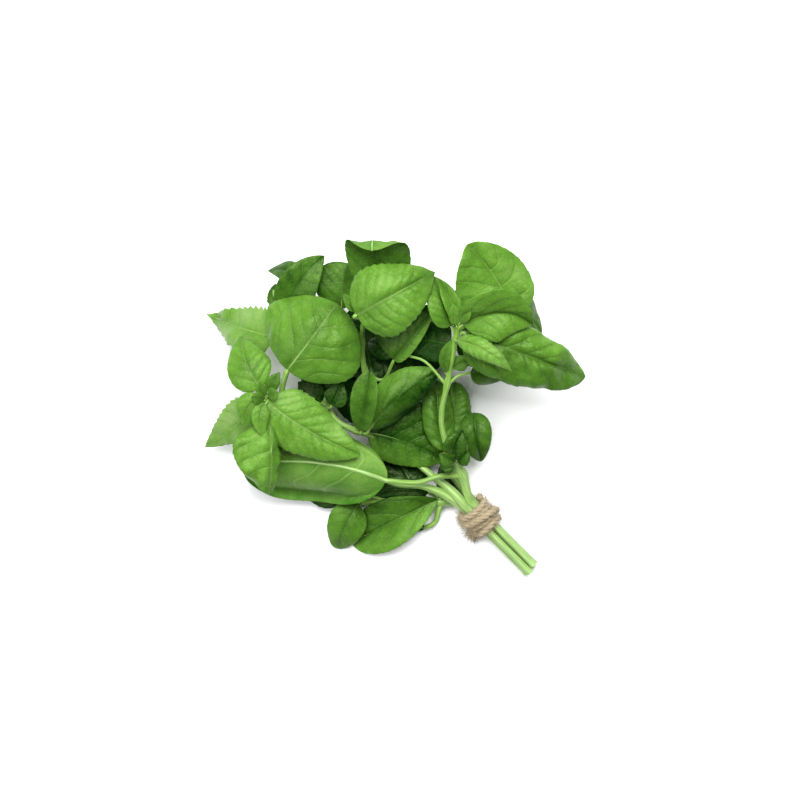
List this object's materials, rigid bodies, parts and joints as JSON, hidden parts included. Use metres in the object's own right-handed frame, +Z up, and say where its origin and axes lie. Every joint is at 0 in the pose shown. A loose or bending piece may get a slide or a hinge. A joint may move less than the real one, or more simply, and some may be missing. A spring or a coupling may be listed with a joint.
{
  "type": "basil bunch",
  "caption": "Bunch of fresh basil lying flat: cut leafy stems with broad glossy leaves and growing tips, tied near the cut ends with jute twine.",
  "frame": {"origin": "on the surface that the bunch lies on, under the middle of its bounding box", "axes": "+Z up, away from the surface; the leaves spread towards -X and the cut stem ends point to +X and -Y"},
  "size_m": [0.1926, 0.1674, 0.0695],
  "materials": {
    "leaf": "satin",
    "twine": "matte"
  },
  "bodies": {
    "root": {"leafy_stem_right": "leaf", "leafy_stem_left": "leaf", "leafy_stem_middle": "leaf", "leafy_stem_upper": "leaf", "leafy_stem_lower": "leaf", "twine_tie": "twine"}
  },
  "joints": []
}
